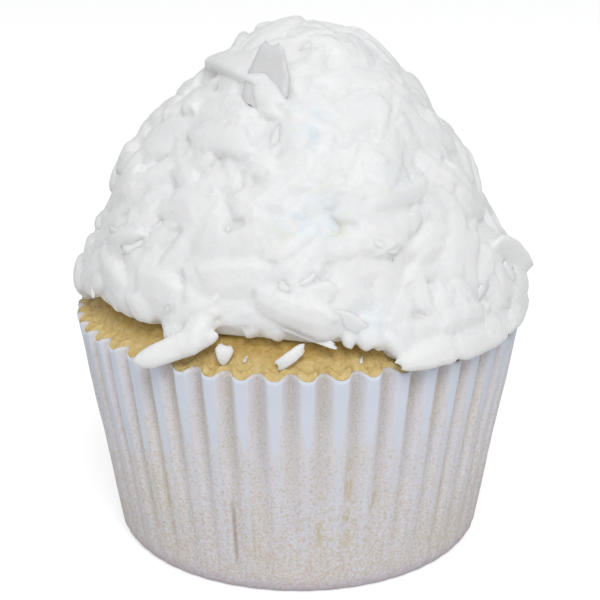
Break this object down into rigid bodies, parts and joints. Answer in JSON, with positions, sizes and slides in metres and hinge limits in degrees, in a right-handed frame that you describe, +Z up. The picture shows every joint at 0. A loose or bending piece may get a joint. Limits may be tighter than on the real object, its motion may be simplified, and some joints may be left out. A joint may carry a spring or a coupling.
{
  "type": "coconut cupcake in its paper case",
  "caption": "Domed sponge cupcake in a pleated white paper case, under a tall rough mound of white frosting covered with broad coconut flakes.",
  "frame": {"origin": "middle of the paper case's flat base, on the surface it stands on", "axes": "+Z up through the middle of the cake; -Y is the front, the side the picture shows; +X is the picture's right"},
  "size_m": [0.0623, 0.0602, 0.069],
  "materials": {
    "paper_case": "matte",
    "sponge": "matte",
    "frosting": "satin"
  },
  "bodies": {
    "root": {"paper_case": "paper_case", "sponge": "sponge", "frosting": "frosting"}
  },
  "joints": []
}
